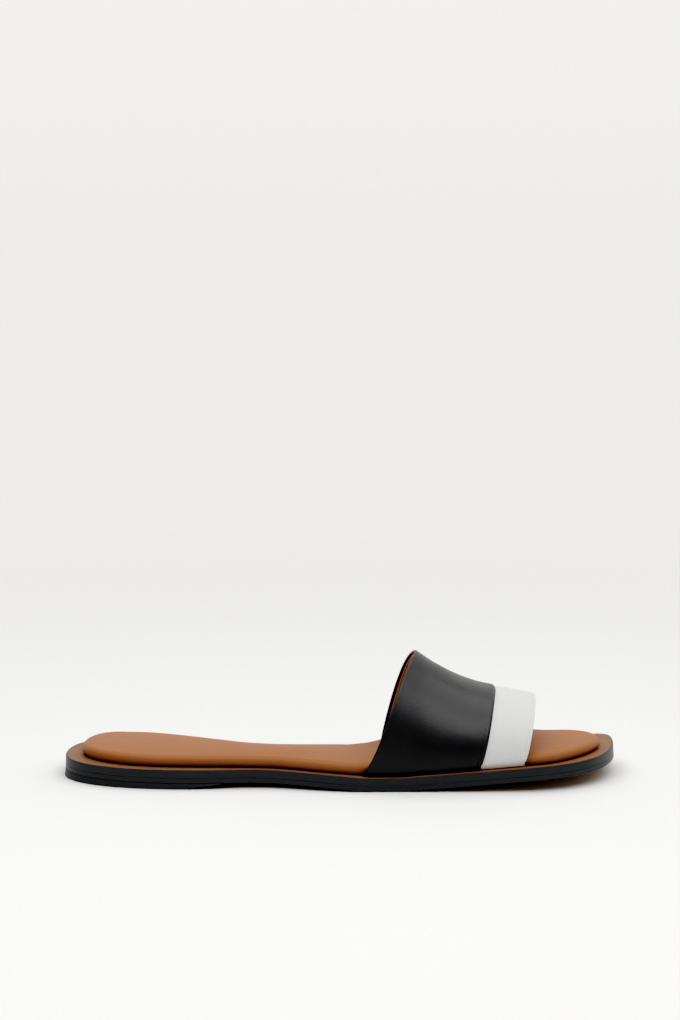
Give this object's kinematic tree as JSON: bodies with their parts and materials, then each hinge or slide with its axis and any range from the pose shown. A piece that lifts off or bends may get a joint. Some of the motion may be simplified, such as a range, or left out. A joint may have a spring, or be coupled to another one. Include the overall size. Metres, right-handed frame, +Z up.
{
  "type": "flat sandal",
  "caption": "Flat leather slide for the right foot: padded footbed on a thin layered leather sole with a low heel lift, under one broad two-tone band that is open at the toe.",
  "frame": {"origin": "on the floor, under the middle of the sandal's own box", "axes": "+X from heel to toe, +Y towards the inner side of the right foot, +Z up from the floor"},
  "size_m": [0.2656, 0.08, 0.0599],
  "materials": {
    "outsole_leather": "black-inked and brushed edge, satin",
    "midsole_leather": "black-inked edge, tan grain on the bare rim, satin",
    "heel_lift": "matt black, flush with the sole edge",
    "footbed_leather": "smooth tan calf over padding, soft sheen",
    "lining_leather": "smooth tan lining, matt",
    "dark_leather": "smooth black calf, soft gloss, fine grain",
    "light_leather": "smooth off-white calf, soft sheen"
  },
  "bodies": {
    "root": {"outsole": "outsole_leather", "midsole": "midsole_leather", "heel_lift": "heel_lift", "footbed": "footbed_leather", "upper": "lining_leather", "dark_panel": "dark_leather", "light_panel": "light_leather"}
  },
  "joints": []
}
